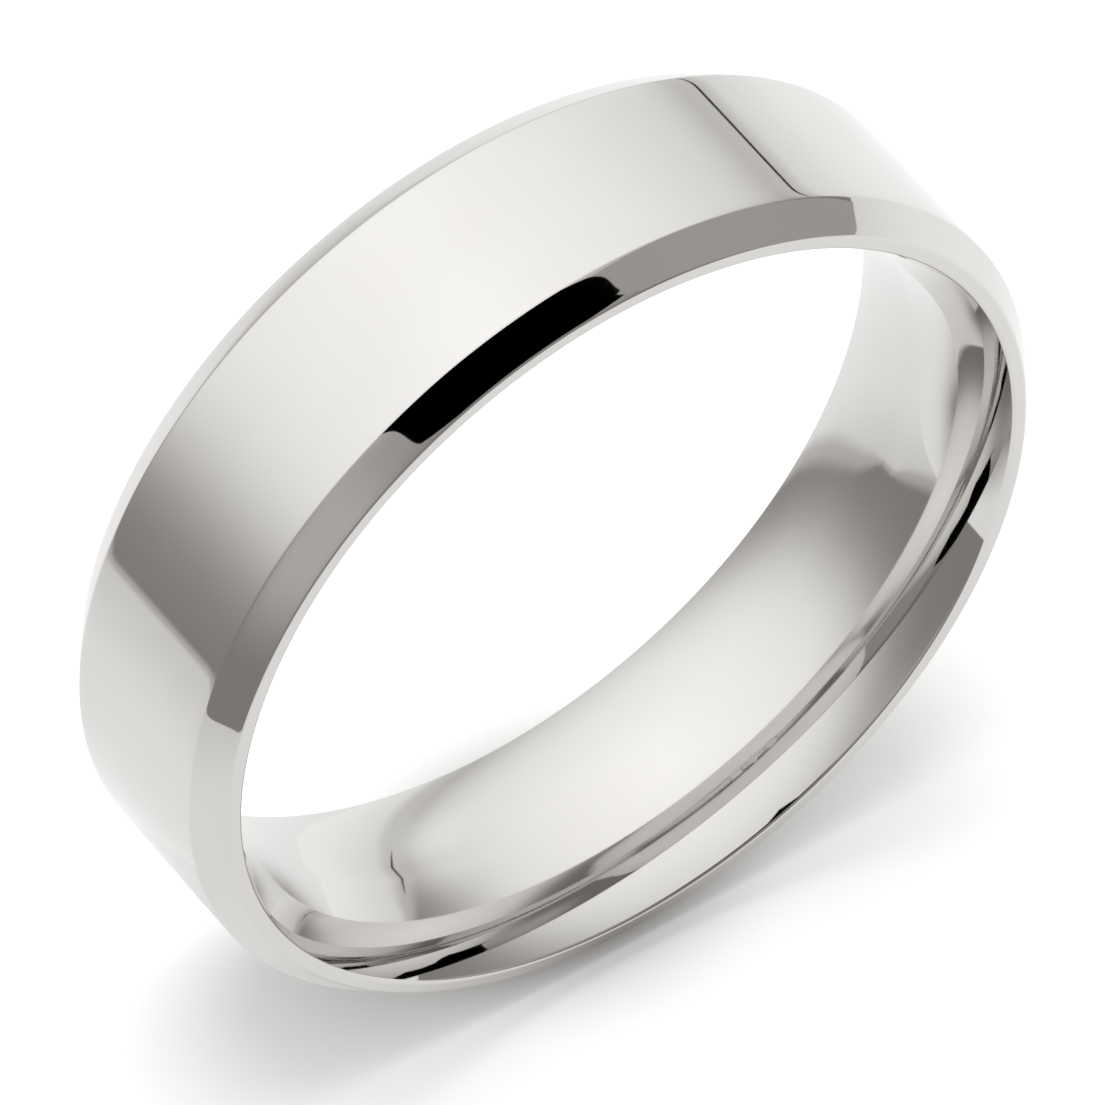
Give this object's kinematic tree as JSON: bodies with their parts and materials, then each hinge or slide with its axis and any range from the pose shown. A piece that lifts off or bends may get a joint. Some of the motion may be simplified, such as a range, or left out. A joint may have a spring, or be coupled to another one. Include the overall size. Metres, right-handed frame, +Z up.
{
  "type": "wedding band",
  "caption": "Polished white-metal wedding band with a flat outer face, a bevel along each edge and a comfort-curved inside.",
  "frame": {"origin": "centre of the finger hole, at the middle of the band's width", "axes": "+Y along the finger, +Z up; the ring stands on its outer face, and its lowest line is straight below the origin"},
  "size_m": [0.0229, 0.006, 0.0228],
  "materials": {
    "white_metal": "polished"
  },
  "bodies": {
    "root": {"band": "white_metal"}
  },
  "joints": []
}
